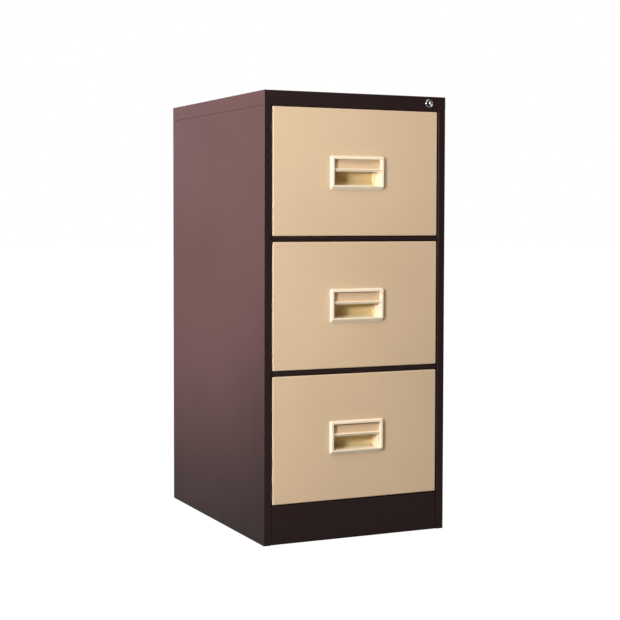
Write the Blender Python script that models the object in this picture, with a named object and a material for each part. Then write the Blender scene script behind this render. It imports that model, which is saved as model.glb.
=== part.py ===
"""A three-drawer steel filing cabinet, in metres, with +Z up.

The origin is on the floor, under the middle of the cabinet's outline. The front faces -Y, and each
drawer slides out along -Y. Left and right are as seen by a person who stands in front of it.
"""

import math

import bmesh
import bpy
from mathutils import Matrix, Vector

# ---------------------------------------------------------------- driving dimensions, in metres

CABINET_WIDTH = 0.460
CARCASS_DEPTH = 0.620
CABINET_HEIGHT = 1.020
DRAWER_SET_BACK = 0.001       # how far the drawer fronts lie behind the carcass's front plane
HANDLE_PROUD = 0.007          # how far the handle bezels stand out of the drawer fronts
SHEET = 0.001                 # steel sheet thickness
GAP = 0.0003                  # clearance between two pieces that touch

HALF_WIDTH = CABINET_WIDTH / 2
HANDLE_OVERHANG = HANDLE_PROUD - DRAWER_SET_BACK
BACK = (CARCASS_DEPTH + HANDLE_OVERHANG) / 2
FRONT = BACK - CARCASS_DEPTH

# Drawer fronts
DRAWER_NAMES = ("top", "middle", "bottom")
DRAWER_PITCH = 0.3025
TOP_DRAWER_TOP = 0.985
FRONT_HALF_WIDTH = 0.209
FRONT_HEIGHT = 0.2895
FRONT_BOX_DEPTH = 0.033
FRONT_EDGE_RADIUS = 0.0028

# Carcass
STILE_WIDTH = 0.0180          # width of the face that each side panel folds round to the front
STILE_DEPTH = 0.018
STILE_LIP = 0.009
REAR_FLANGE = 0.018
PANEL_BEND = 0.0014           # mean radius of the side panels' folds
LID_HEIGHT = 0.0335
LID_RADIUS = 0.0016
LID_JOGGLE = SHEET + GAP      # how far the side panels step in under the lid's flanges
SEAM = 0.0006
UNDER_LID = 0.002             # clearance between the lid's lower edge and what stands inside below it
BASE_TOP = 0.088
BASE_RETURN_HEIGHT = 0.0225
RAIL_HEIGHT = 0.009
RAIL_INSET = 0.002
RAIL_DEPTH = 0.028
KICK_DEPTH = 0.0295           # how far the kick plate's returns reach behind the front plane

# Uprights that carry the runners
UPRIGHT_FACE = 0.2148         # distance of the uprights' inner faces from the middle
UPRIGHT_OUTER = 0.2285
UPRIGHT_WIDTH = 0.030
FRONT_UPRIGHT_Y = 0.040       # from the front plane
REAR_UPRIGHT_Y = 0.555

# Telescopic slides, from their carriers' front planes and from the drawer front's lower edge
SLIDE_SHEET = 0.0012
SLIDE_OUTER_FACE = UPRIGHT_FACE - GAP
SLIDE_HEIGHT = 0.100
RUNNER_START, RUNNER_LENGTH = 0.042, 0.545
MIDDLE_START, MIDDLE_LENGTH = 0.045, 0.500
INNER_START, INNER_LENGTH = 0.042, 0.540

# Drawer bodies
TRAY_HALF_WIDTH = 0.2010
TRAY_START, TRAY_END = 0.0348, 0.594
TRAY_BOTTOM, TRAY_TOP = 0.010, 0.245
FILE_RAIL_WIDTH = 0.008
FILE_RAIL_DROP = 0.008

# Handle moulding, from the middle of its bezel and from the front plane
HANDLE_DROP = 0.0011          # bezel's middle below the drawer front's middle
BEZEL_HALF_WIDTH = 0.068
BEZEL_HALF_HEIGHT = 0.0388
BEZEL_SIDE_LEAN = 0.0020      # how far the bezel's top and sides lean in from its foot to its face
BEZEL_BOTTOM_LEAN = 0.0065
BEZEL_FOOT_RADIUS, BEZEL_FACE_RADIUS = 0.0045, 0.0030
BEZEL_RIM_RADIUS = 0.0012
POCKET_HALF_WIDTH = 0.060
POCKET_TAPER = 0.006          # each end of the finger pocket leans in by this much at its back
LABEL_TOP, LABEL_BOTTOM = 0.0312, 0.0093
LABEL_DEPTH = 0.0020
LEDGE_SINK = 0.0015           # how far the bar above the finger pocket lies behind the bezel's face
POCKET_TOP, POCKET_BOTTOM = 0.0028, -0.0285
POCKET_DEPTH = 0.0290
GRIP_HEIGHT = 0.0115          # how far the pocket reaches up behind the bar
SCOOP_RADIUS, GRIP_RADIUS = 0.014, 0.005
PLASTIC = 0.0025

# Lock
LOCK_X = 0.1857
LOCK_Z = 1.0045
LOCK_RING_RADIUS = 0.010
LOCK_BODY_RADIUS = 0.008
LOCK_BORE_RADIUS = 0.0068
PLUG_RADIUS = 0.0065
CRANK_RADIUS = 0.009
CRANK_REST = math.radians(-45)  # the crank points down and outward while the drawers are free
PIN_RADIUS = 0.002
BAR_INNER, BAR_OUTER = 0.2170, 0.2270
BAR_Y = 0.0345
BAR_THICKNESS = 0.002
LUG_REACH = 0.2110
LUG_BOTTOM, LUG_HEIGHT = 0.190, 0.010
CATCH_REACH = 0.2105
CATCH_BOTTOM, CATCH_HEIGHT = 0.205, 0.012

BEND_SEGMENTS = 4
ROUND_SEGMENTS = 32


# ---------------------------------------------------------------- scene and materials

for leftover in list(bpy.data.objects):
    bpy.data.objects.remove(leftover)


def painted(name, colour, roughness, metallic=0.0):
    """A Principled material of one colour."""
    material = bpy.data.materials.new(name)
    material.use_nodes = True
    shader = material.node_tree.nodes["Principled BSDF"]
    shader.inputs["Base Color"].default_value = (*colour, 1.0)
    shader.inputs["Roughness"].default_value = roughness
    shader.inputs["Metallic"].default_value = metallic
    return material


BROWN_PAINT = painted("brown_paint", (0.050, 0.026, 0.025), 0.38)
BEIGE_PAINT = painted("beige_paint", (0.68, 0.52, 0.36), 0.42)
CREAM_PLASTIC = painted("cream_plastic", (0.88, 0.76, 0.56), 0.35)
ZINC = painted("zinc_plated_steel", (0.62, 0.62, 0.60), 0.35, 1.0)
CHROME = painted("chrome", (0.82, 0.82, 0.83), 0.12, 1.0)
BLACK_PLASTIC = painted("black_plastic", (0.03, 0.03, 0.03), 0.50)


# ---------------------------------------------------------------- shape tools

def add_object(name, bm, material, parent=None):
    """Turn a bmesh into a named object whose coordinates are its parent's."""
    bmesh.ops.remove_doubles(bm, verts=bm.verts, dist=1e-7)
    bmesh.ops.recalc_face_normals(bm, faces=bm.faces)
    mesh = bpy.data.meshes.new(name)
    bm.to_mesh(mesh)
    bm.free()
    mesh.shade_smooth()
    mesh.set_sharp_from_angle(angle=math.radians(35))
    if material:
        mesh.materials.append(material)
    thing = bpy.data.objects.new(name, mesh)
    bpy.context.collection.objects.link(thing)
    thing.parent = parent
    return thing


def add_empty(name, place):
    """A carrier for the pieces that move together, at their own reference point."""
    empty = bpy.data.objects.new(name, None)
    empty.location = place
    bpy.context.collection.objects.link(empty)
    return empty


def rounded_line(points, radius, segments=BEND_SEGMENTS):
    """The line through points, with an arc in place of each inner corner."""
    line = [Vector(points[0])]
    for before, corner, after in zip(points, points[1:], points[2:]):
        corner = Vector(corner)
        to_before = (Vector(before) - corner).normalized()
        to_after = (Vector(after) - corner).normalized()
        half_angle = to_before.angle(to_after) / 2
        centre = corner + (to_before + to_after).normalized() * (radius / math.sin(half_angle))
        start = corner + to_before * (radius / math.tan(half_angle)) - centre
        end = corner + to_after * (radius / math.tan(half_angle)) - centre
        sweep = math.atan2(start.x * end.y - start.y * end.x, start.dot(end))
        for step in range(segments + 1):
            line.append(centre + Matrix.Rotation(sweep * step / segments, 2) @ start)
    line.append(Vector(points[-1]))
    return line


def sheet_outline(points, thickness, radius):
    """The outline of a folded sheet whose middle runs through points."""
    line = rounded_line(points, radius)
    one_side, other_side = [], []
    for index, point in enumerate(line):
        into = (point - line[index - 1]).normalized() if index else None
        out = (line[index + 1] - point).normalized() if index + 1 < len(line) else None
        into = into or out
        out = out or into
        along = (into + out).normalized()
        normal = Vector((-along.y, along.x)) * (thickness / 2 / along.dot(into))
        one_side.append(point + normal)
        other_side.append(point - normal)
    return one_side + other_side[::-1]


def in_space(point, axis, position):
    """A flat outline's point, set at a position along the axis that the outline is square to."""
    first, second = point
    if axis == "X":
        return Vector((position, first, second))
    if axis == "Y":
        return Vector((first, position, second))
    return Vector((first, second, position))


def lofted(name, rings, material, parent=None):
    """A solid through rings of points, each ring with as many points as the next."""
    bm = bmesh.new()
    levels = [[bm.verts.new(point) for point in ring] for ring in rings]
    for low, high in zip(levels, levels[1:]):
        for index, corner in enumerate(low):
            bm.faces.new((low[index - 1], corner, high[index], high[index - 1]))
    bm.faces.new(levels[0])
    bm.faces.new(levels[-1])
    return add_object(name, bm, material, parent)


def extruded(name, outline, axis, low, high, material, parent=None):
    """A straight bar with the given cross-section, from low to high along an axis."""
    rings = [[in_space(point, axis, position) for point in outline] for position in (low, high)]
    return lofted(name, rings, material, parent)


def folded(name, points, axis, low, high, material, parent=None, thickness=SHEET, radius=0.0015):
    """A sheet folded along straight lines that run along an axis."""
    outline = sheet_outline(points, thickness, radius)
    return extruded(name, outline, axis, low, high, material, parent)


def box_mesh(low, high):
    """A bmesh box between two corners."""
    bm = bmesh.new()
    bmesh.ops.create_cube(bm, size=1.0)
    for vertex in bm.verts:
        for axis in range(3):
            vertex.co[axis] = high[axis] if vertex.co[axis] > 0 else low[axis]
    return bm


def pan(name, low, high, open_towards, radius, material, parent=None):
    """A box folded from sheet and open on one side, with low and high as its outer corners."""
    bm = box_mesh(low, high)
    bm.normal_update()
    open_face = max(bm.faces, key=lambda face: face.normal.dot(Vector(open_towards)))
    bmesh.ops.delete(bm, geom=[open_face], context="FACES_ONLY")
    folds = [edge for edge in bm.edges if not edge.is_boundary]
    bmesh.ops.bevel(bm, geom=folds, offset=radius, segments=BEND_SEGMENTS, profile=0.5, affect="EDGES")
    thing = add_object(name, bm, material, parent)
    wall = thing.modifiers.new("wall", "SOLIDIFY")
    wall.thickness = SHEET
    wall.offset = -1.0
    wall.use_even_offset = True
    return thing


def turned(name, profile, closed, axis, material, parent=None, centre=(0, 0, 0)):
    """A turned piece. The profile lists (radius, distance along the axis)."""
    directions = {"Y": (Vector((1, 0, 0)), Vector((0, 1, 0))), "Z": (Vector((1, 0, 0)), Vector((0, 0, 1)))}
    outward, along = directions[axis]
    bm = bmesh.new()
    points = [bm.verts.new(Vector(centre) + outward * r + along * d) for r, d in profile]
    edges = [bm.edges.new(pair) for pair in zip(points, points[1:])]
    if closed:
        edges.append(bm.edges.new((points[-1], points[0])))
    bmesh.ops.spin(
        bm, geom=points + edges, cent=centre, axis=along,
        angle=math.tau, steps=ROUND_SEGMENTS, use_merge=True,
    )
    return add_object(name, bm, material, parent)


def as_cutter(thing):
    """Mark an object as a tool for Booleans that is not part of the cabinet."""
    thing.hide_render = True
    thing.display_type = "WIRE"
    return thing


def boolean(thing, tool, operation):
    step = thing.modifiers.new(tool.name, "BOOLEAN")
    step.object = as_cutter(tool)
    step.operation = operation
    step.solver = "EXACT"


def cut(thing, tool):
    """Cut a tool's shape out of an object."""
    boolean(thing, tool, "DIFFERENCE")


def join(thing, tool):
    """Fuse a tool's shape to an object."""
    boolean(thing, tool, "UNION")


def block(name, low, high, parent=None):
    """A solid box, used to cut straight openings."""
    return add_object(name, box_mesh(low, high), None, parent)


def rod(name, radius, start, end, parent=None, centre=(0, 0, 0), axis="Y"):
    """A plain cylinder along an axis, used to drill holes and to add pins."""
    profile = [(0, start), (radius, start), (radius, end), (0, end)]
    return turned(name, profile, False, axis, None, parent, centre)


# ---------------------------------------------------------------- carcass

def side_panel(name, side):
    """One side, folded round to a stile in front and to a flange behind.

    Its top steps in by one sheet thickness, so that the lid's flanges lie flush with its face.
    """
    half_sheet = SHEET / 2
    inner_face = side * (HALF_WIDTH - STILE_WIDTH + half_sheet)
    lip_end = inner_face + side * STILE_LIP
    outer = side * (HALF_WIDTH - half_sheet)
    line = [
        (side * (HALF_WIDTH - REAR_FLANGE), BACK - half_sheet),
        (outer, BACK - half_sheet),
        (outer, FRONT + half_sheet),
        (inner_face, FRONT + half_sheet),
        (inner_face, FRONT + STILE_DEPTH),
        (lip_end, FRONT + STILE_DEPTH),
    ]
    outline = sheet_outline(line, SHEET, PANEL_BEND)
    fold_zone = PANEL_BEND + SHEET

    def stepped_in(point):
        x, y = point
        if abs(x) > HALF_WIDTH - fold_zone:
            x -= side * LID_JOGGLE
        if y < FRONT + fold_zone:
            y += LID_JOGGLE
        if y > BACK - fold_zone:
            y -= LID_JOGGLE
        return Vector((x, y))

    seam_height = CABINET_HEIGHT - LID_HEIGHT
    under_lid = [stepped_in(point) for point in outline]
    rings = [
        [in_space(point, "Z", 0.0) for point in outline],
        [in_space(point, "Z", seam_height - 2 * SEAM) for point in outline],
        [in_space(point, "Z", seam_height - SEAM / 2) for point in under_lid],
        [in_space(point, "Z", CABINET_HEIGHT - SHEET - 2 * GAP) for point in under_lid],
    ]
    return lofted(name, rings, BROWN_PAINT)


def carcass_panels():
    for name, side in (("left_side_panel", -1), ("right_side_panel", 1)):
        side_panel(name, side)
    back_half = HALF_WIDTH - SHEET - 0.0007
    back_face = BACK - SHEET - GAP
    pan(
        "back_panel",
        (-back_half, back_face - 0.010, 0.002),
        (back_half, back_face, CABINET_HEIGHT - LID_HEIGHT - UNDER_LID),
        (0, -1, 0), 0.0020, BROWN_PAINT,
    )
    lid = pan(
        "top_cover",
        (-HALF_WIDTH, FRONT, CABINET_HEIGHT - LID_HEIGHT),
        (HALF_WIDTH, BACK, CABINET_HEIGHT),
        (0, 0, -1), LID_RADIUS, BROWN_PAINT,
    )
    cut(lid, rod("lid_lock_hole", LOCK_BODY_RADIUS + 0.0004, FRONT - 0.01, FRONT + 0.01,
                 centre=(LOCK_X, 0, LOCK_Z)))


def carcass_rails():
    """The kick plate, the rail behind the lid's front strip and the rails between the drawers."""
    half_span = HALF_WIDTH - STILE_WIDTH - 0.0005
    half_sheet = SHEET / 2
    pan(
        "kick_plate",
        (-half_span, FRONT + SHEET, 0.0), (half_span, FRONT + KICK_DEPTH, BASE_TOP),
        (0, 1, 0), 0.0020, BROWN_PAINT,
    )
    rail_y = FRONT + SHEET + GAP + half_sheet
    rail_bottom = CABINET_HEIGHT - LID_HEIGHT + 0.0012
    rail_top = CABINET_HEIGHT - SHEET - 0.0012
    top_rail = folded(
        "top_front_rail",
        [(FRONT + 0.022, rail_bottom), (rail_y, rail_bottom), (rail_y, rail_top), (FRONT + 0.022, rail_top)],
        "X", -half_span, half_span, BROWN_PAINT,
    )
    cut(top_rail, rod("rail_lock_hole", LOCK_BODY_RADIUS + 0.0004, FRONT - 0.01, FRONT + 0.01,
                      centre=(LOCK_X, 0, LOCK_Z)))
    for index, name in enumerate(("upper_cross_rail", "lower_cross_rail")):
        middle = (drawer_bottom(index) + drawer_bottom(index + 1) + FRONT_HEIGHT) / 2
        low = middle - RAIL_HEIGHT / 2 + half_sheet
        high = middle + RAIL_HEIGHT / 2 - half_sheet
        front_y = FRONT + RAIL_INSET + half_sheet
        folded(
            name,
            [(FRONT + RAIL_DEPTH, high), (front_y, high), (front_y, low), (FRONT + RAIL_DEPTH, low)],
            "X", -half_span, half_span, BROWN_PAINT,
        )


def base_and_feet():
    """The floor under the lowest drawer, with returns that the levelling feet screw into."""
    half_sheet = SHEET / 2
    outer = HALF_WIDTH - 0.004
    inner = 0.200
    top = BASE_TOP - half_sheet
    base = folded(
        "base_panel",
        [(-inner, BASE_RETURN_HEIGHT), (-outer, BASE_RETURN_HEIGHT), (-outer, top),
         (outer, top), (outer, BASE_RETURN_HEIGHT), (inner, BASE_RETURN_HEIGHT)],
        "Y", FRONT + 0.0313, BACK - 0.0125, BROWN_PAINT,
    )
    foot_profile = [
        (0, 0), (0.0140, 0), (0.0150, 0.0010), (0.0150, 0.0080), (0.0120, 0.0100),
        (0.0040, 0.0100), (0.0040, 0.0400), (0, 0.0400),
    ]
    for row, foot_y in (("front", FRONT + 0.060), ("rear", BACK - 0.060)):
        for column, side in (("left", -1), ("right", 1)):
            centre = (side * 0.2115, foot_y, 0)
            turned(f"{row}_{column}_foot", foot_profile, False, "Z", BLACK_PLASTIC, centre=centre)
            cut(base, rod(f"{row}_{column}_foot_hole", 0.0043, 0.015, 0.030, centre=centre, axis="Z"))


def uprights():
    """The four channels inside the sides that the drawer runners are fixed to."""
    half_sheet = SHEET / 2
    top = CABINET_HEIGHT - LID_HEIGHT - UNDER_LID
    for row, start in (("front", FRONT + FRONT_UPRIGHT_Y), ("rear", FRONT + REAR_UPRIGHT_Y)):
        near, far = start + half_sheet, start + UPRIGHT_WIDTH - half_sheet
        for column, side in (("left", -1), ("right", 1)):
            face, edge = side * (UPRIGHT_FACE + half_sheet), side * UPRIGHT_OUTER
            folded(
                f"{row}_{column}_upright",
                [(edge, near), (face, near), (face, far), (edge, far)],
                "Z", BASE_TOP + 2 * GAP, top, ZINC,
            )


# ---------------------------------------------------------------- drawers and slides

def drawer_bottom(index):
    """The height of a drawer front's lower edge; index 0 is the top drawer."""
    return TOP_DRAWER_TOP - FRONT_HEIGHT - index * DRAWER_PITCH


def slide_member(name, side, web, tip, half_height, start, length, parent):
    """One channel of a telescopic slide.

    web and tip are distances inward from the slide's outer face, to the middle of the web and to
    the flanges' ends. half_height is from the slide's middle line to the middle of a flange.
    """
    def across(distance):
        return side * (SLIDE_OUTER_FACE - distance)

    line = [
        (across(tip), SLIDE_HEIGHT + half_height),
        (across(web), SLIDE_HEIGHT + half_height),
        (across(web), SLIDE_HEIGHT - half_height),
        (across(tip), SLIDE_HEIGHT - half_height),
    ]
    folded(name, line, "Y", start, start + length, ZINC, parent, thickness=SLIDE_SHEET, radius=0.0016)


def slides(drawer, bay, traveller, carriage):
    """Both telescopic slides of a drawer: runner on the cabinet, middle member, drawer member."""
    for column, side in (("left", -1), ("right", 1)):
        slide_member(f"{drawer}_{column}_runner", side, 0.0006, 0.0100, 0.0215,
                     RUNNER_START, RUNNER_LENGTH, bay)
        slide_member(f"{drawer}_{column}_middle_slide", side, 0.0040, 0.0102, 0.0165,
                     MIDDLE_START, MIDDLE_LENGTH, traveller)
        slide_member(f"{drawer}_{column}_drawer_slide", side, 0.0123, 0.0062, 0.0115,
                     INNER_START, INNER_LENGTH, carriage)


def drawer_front(drawer, carriage):
    """The painted pan in front, its aperture for the handle, and the liner that closes it behind."""
    skin = pan(
        f"{drawer}_drawer_front",
        (-FRONT_HALF_WIDTH, 0, 0), (FRONT_HALF_WIDTH, FRONT_BOX_DEPTH, FRONT_HEIGHT),
        (0, 1, 0), FRONT_EDGE_RADIUS, BEIGE_PAINT, carriage,
    )
    middle = handle_middle()
    cut(skin, block(
        f"{drawer}_handle_aperture",
        (-0.0630, -0.01, middle + POCKET_BOTTOM - PLASTIC - 0.0005),
        (0.0630, 0.01, middle + LABEL_TOP + PLASTIC + 0.0005), parent=carriage,
    ))
    margin = SHEET + GAP
    pan(
        f"{drawer}_drawer_liner",
        (-FRONT_HALF_WIDTH + margin, FRONT_BOX_DEPTH - 0.0100, margin),
        (FRONT_HALF_WIDTH - margin, FRONT_BOX_DEPTH + 0.0005, FRONT_HEIGHT - margin),
        (0, -1, 0), 0.0020, BEIGE_PAINT, carriage,
    )


def drawer_body(drawer, carriage):
    """The tray with its two file rails, and the back that closes it."""
    half_sheet = SHEET / 2
    wall = TRAY_HALF_WIDTH - half_sheet
    bottom, top = TRAY_BOTTOM + half_sheet, TRAY_TOP - half_sheet
    rail = wall - FILE_RAIL_WIDTH
    folded(
        f"{drawer}_drawer_tray",
        [(-rail, top - FILE_RAIL_DROP), (-rail, top), (-wall, top), (-wall, bottom),
         (wall, bottom), (wall, top), (rail, top), (rail, top - FILE_RAIL_DROP)],
        "Y", TRAY_START, TRAY_END, ZINC, carriage,
    )
    inside = TRAY_HALF_WIDTH - SHEET - GAP
    pan(
        f"{drawer}_drawer_back",
        (-inside, TRAY_END - 0.0130, TRAY_BOTTOM + SHEET + GAP),
        (inside, TRAY_END - 0.0010, TRAY_TOP - SHEET - FILE_RAIL_DROP - 0.0010),
        (0, -1, 0), 0.0020, ZINC, carriage,
    )


def lock_catch(drawer, carriage):
    """The bracket on the right of the drawer that the lock bar's lug stands in front of."""
    half = 0.00075
    base_x = TRAY_HALF_WIDTH + GAP + half
    tab_y = BAR_Y + BAR_THICKNESS + 0.0015 + half
    folded(
        f"{drawer}_drawer_lock_catch",
        [(base_x, tab_y + 0.022), (base_x, tab_y), (CATCH_REACH, tab_y)],
        "Z", CATCH_BOTTOM, CATCH_BOTTOM + CATCH_HEIGHT, ZINC, carriage, thickness=2 * half, radius=0.0015,
    )


def handle_middle():
    """The height of a handle's middle above its drawer front's lower edge."""
    return FRONT_HEIGHT / 2 - HANDLE_DROP


def rounded_oblong(half_width, low, high, radius, y):
    """A rounded rectangle that faces along Y."""
    corners = (
        (half_width - radius, low + radius, -90), (half_width - radius, high - radius, 0),
        (radius - half_width, high - radius, 90), (radius - half_width, low + radius, 180),
    )
    ring = []
    for x, z, start in corners:
        for step in range(BEND_SEGMENTS + 1):
            angle = math.radians(start + 90 * step / BEND_SEGMENTS)
            ring.append(Vector((x + radius * math.cos(angle), y, z + radius * math.sin(angle))))
    return ring


def bezel_rings(middle, face):
    """The bezel leans in on all sides from its foot, most at the bottom, up to a rounded rim."""
    foot, top = middle - BEZEL_HALF_HEIGHT, middle + BEZEL_HALF_HEIGHT
    rings = [rounded_oblong(BEZEL_HALF_WIDTH, foot, top, BEZEL_FOOT_RADIUS, -GAP)]
    for step in range(BEND_SEGMENTS + 1):
        turn = math.radians(90 * step / BEND_SEGMENTS)
        inset = BEZEL_RIM_RADIUS * (1 - math.cos(turn))
        side = BEZEL_SIDE_LEAN + inset
        rings.append(rounded_oblong(
            BEZEL_HALF_WIDTH - side, foot + BEZEL_BOTTOM_LEAN + inset, top - side,
            BEZEL_FACE_RADIUS - inset, face + BEZEL_RIM_RADIUS * (1 - math.sin(turn)),
        ))
    return rings


def handle(drawer, carriage):
    """The recessed plastic handle: bezel, label recess above, and finger pocket below a ledge."""
    middle = handle_middle()
    face = -HANDLE_PROUD

    def raised(points):
        return [(y, z + middle) for y, z in points]

    bezel = lofted(f"{drawer}_drawer_handle", bezel_rings(middle, face), CREAM_PLASTIC, carriage)

    grip_top = POCKET_TOP + GRIP_HEIGHT
    shell_back = POCKET_DEPTH + PLASTIC
    shell_bottom, shell_top = POCKET_BOTTOM - PLASTIC, LABEL_TOP + PLASTIC
    shell = rounded_line(raised([
        (face / 2, shell_bottom), (shell_back, shell_bottom), (shell_back, grip_top + PLASTIC),
        (LABEL_DEPTH + PLASTIC, grip_top + PLASTIC),
    ]), 0.008)
    shell += [Vector(point) for point in raised([(LABEL_DEPTH + PLASTIC, shell_top), (face / 2, shell_top)])]
    shell_half = POCKET_HALF_WIDTH + PLASTIC
    join(bezel, extruded(f"{drawer}_handle_shell", shell, "X", -shell_half, shell_half, None, carriage))

    cut(bezel, block(
        f"{drawer}_label_recess",
        (-POCKET_HALF_WIDTH, face - 0.005, middle + LABEL_BOTTOM),
        (POCKET_HALF_WIDTH, LABEL_DEPTH, middle + LABEL_TOP), parent=carriage,
    ))

    cut(bezel, block(
        f"{drawer}_ledge_relief",
        (-POCKET_HALF_WIDTH, face - 0.005, middle + POCKET_TOP - 0.0010),
        (POCKET_HALF_WIDTH, face + LEDGE_SINK, middle + LABEL_BOTTOM + 0.0010), parent=carriage,
    ))

    ledge_back = LABEL_DEPTH + PLASTIC
    half_way = (POCKET_BOTTOM + grip_top) / 2
    scoop = rounded_line(raised([
        (face - 0.005, POCKET_BOTTOM), (POCKET_DEPTH, POCKET_BOTTOM), (POCKET_DEPTH, half_way - 0.001),
    ]), SCOOP_RADIUS, 6)
    scoop += rounded_line(raised([
        (POCKET_DEPTH, half_way + 0.001), (POCKET_DEPTH, grip_top), (ledge_back, grip_top),
        (ledge_back, POCKET_TOP + 0.0035),
    ]), GRIP_RADIUS, 4)[1:-1]
    scoop += [Vector(point) for point in raised([(ledge_back, POCKET_TOP), (face - 0.005, POCKET_TOP)])]

    def pocket_end(side):
        return [
            Vector((side * (POCKET_HALF_WIDTH - POCKET_TAPER * max(0.0, y - face) / (POCKET_DEPTH - face)), y, z))
            for y, z in scoop
        ]

    cut(bezel, lofted(f"{drawer}_finger_pocket", [pocket_end(-1), pocket_end(1)], None, carriage))


def drawers():
    """Each drawer hangs on its own carrier, and each pair of middle slides on another."""
    for index, drawer in enumerate(DRAWER_NAMES):
        place = (0, FRONT, drawer_bottom(index))
        bay = add_empty(f"{drawer}_bay", place)
        traveller = add_empty(f"{drawer}_slides_carrier", place)
        carriage = add_empty(f"{drawer}_drawer_carrier", (0, FRONT + DRAWER_SET_BACK, drawer_bottom(index)))
        slides(drawer, bay, traveller, carriage)
        drawer_front(drawer, carriage)
        drawer_body(drawer, carriage)
        lock_catch(drawer, carriage)
        handle(drawer, carriage)


# ---------------------------------------------------------------- lock

def lock_cylinder():
    """The fixed housing with its nut, and the plug and crank that turn in it."""
    fixed = add_empty("lock_seat", (LOCK_X, FRONT, LOCK_Z))
    turning = add_empty("lock_axis", (LOCK_X, FRONT, LOCK_Z))
    housing_end = 0.0240
    turned(
        "lock_housing",
        [
            (LOCK_BORE_RADIUS, -0.0022), (LOCK_BORE_RADIUS + 0.0010, -0.0030),
            (LOCK_RING_RADIUS - 0.0010, -0.0030), (LOCK_RING_RADIUS, -0.0020), (LOCK_RING_RADIUS, -GAP),
            (LOCK_BODY_RADIUS, -GAP), (LOCK_BODY_RADIUS, housing_end), (LOCK_BORE_RADIUS, housing_end),
        ],
        True, "Y", CHROME, fixed,
    )
    hexagon = [
        Vector((0.0120 * math.cos(math.radians(60 * corner)), 0.0120 * math.sin(math.radians(60 * corner))))
        for corner in range(6)
    ]
    nut = extruded("lock_nut", hexagon, "Y", 0.0030, 0.0070, ZINC, fixed)
    cut(nut, rod("lock_nut_bore", LOCK_BODY_RADIUS + 0.0003, 0.0, 0.0100, fixed))

    plug_face, plug_end = -0.0026, 0.0273
    plug = turned(
        "lock_plug",
        [(0, plug_face), (PLUG_RADIUS - 0.0005, plug_face), (PLUG_RADIUS, plug_face + 0.0005),
         (PLUG_RADIUS, plug_end), (0, plug_end)],
        False, "Y", CHROME, turning,
    )
    cut(plug, block("keyway", (-0.0009, -0.0100, -0.0042), (0.0009, 0.0100, 0.0042), parent=turning))

    crank_tip = Vector((math.cos(CRANK_REST), math.sin(CRANK_REST))) * CRANK_RADIUS
    crank_outline = crank_shape(crank_tip, 0.0065, 0.0035)
    crank = extruded("lock_crank", crank_outline, "Y", plug_end + GAP, plug_end + GAP + 0.002, ZINC, turning)
    pin_start = plug_end + GAP + 0.001
    pin_end = BAR_Y + BAR_THICKNESS + 0.0015
    join(crank, rod("crank_pin", PIN_RADIUS, pin_start, pin_end, turning, (crank_tip.x, 0, crank_tip.y)))


def crank_shape(tip, hub_radius, tip_radius):
    """Two round ends joined by their outer tangents."""
    direction = math.atan2(tip.y, tip.x)
    lean = math.acos((hub_radius - tip_radius) / tip.length)
    outline = []
    for centre, radius, start, end in (
        (Vector((0, 0)), hub_radius, direction + lean, direction + math.tau - lean),
        (tip, tip_radius, direction - lean, direction + lean),
    ):
        for step in range(13):
            angle = start + (end - start) * step / 12
            outline.append(centre + Vector((math.cos(angle), math.sin(angle))) * radius)
    return outline


def lock_bar():
    """The bar behind the right stile: an arm over the lock, and one lug for each drawer."""
    arm_bottom, arm_top, arm_end = 0.9925, 1.0035, 0.1862
    outline = [(BAR_INNER, arm_bottom), (arm_end, arm_bottom), (arm_end, arm_top), (BAR_OUTER, arm_top)]
    lowest = drawer_bottom(len(DRAWER_NAMES) - 1) + LUG_BOTTOM - 0.030
    outline += [(BAR_OUTER, lowest), (BAR_INNER, lowest)]
    for index in reversed(range(len(DRAWER_NAMES))):
        low = drawer_bottom(index) + LUG_BOTTOM
        high = low + LUG_HEIGHT
        outline += [(BAR_INNER, low), (LUG_REACH, low), (LUG_REACH, high), (BAR_INNER, high)]
    near, far = FRONT + BAR_Y, FRONT + BAR_Y + BAR_THICKNESS
    bar = extruded("lock_bar", [Vector(point) for point in outline], "Y", near, far, ZINC)
    pin_height = LOCK_Z + CRANK_RADIUS * math.sin(CRANK_REST)
    pin_x = LOCK_X + CRANK_RADIUS * math.cos(CRANK_REST)
    slot_half = PIN_RADIUS + 0.0006
    cut(bar, block(
        "bar_slot",
        (pin_x - 0.0030, near - 0.005, pin_height - slot_half),
        (pin_x + 0.0060, far + 0.005, pin_height + slot_half),
    ))


def bar_guides():
    """Two straps on the front right upright that the lock bar slides through."""
    line = [
        (0.2158, FRONT + 0.0393), (0.2158, FRONT + 0.0335), (0.2282, FRONT + 0.0335), (0.2282, FRONT + 0.0393),
    ]
    for name, height in (("upper_bar_guide", 0.930), ("lower_bar_guide", 0.310)):
        folded(name, line, "Z", height, height + 0.012, ZINC, thickness=0.0008, radius=0.0008)


carcass_panels()
carcass_rails()
base_and_feet()
uprights()
drawers()
lock_cylinder()
lock_bar()
bar_guides()
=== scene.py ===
import math

import bmesh
import bpy
from mathutils import Matrix, Vector

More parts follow.
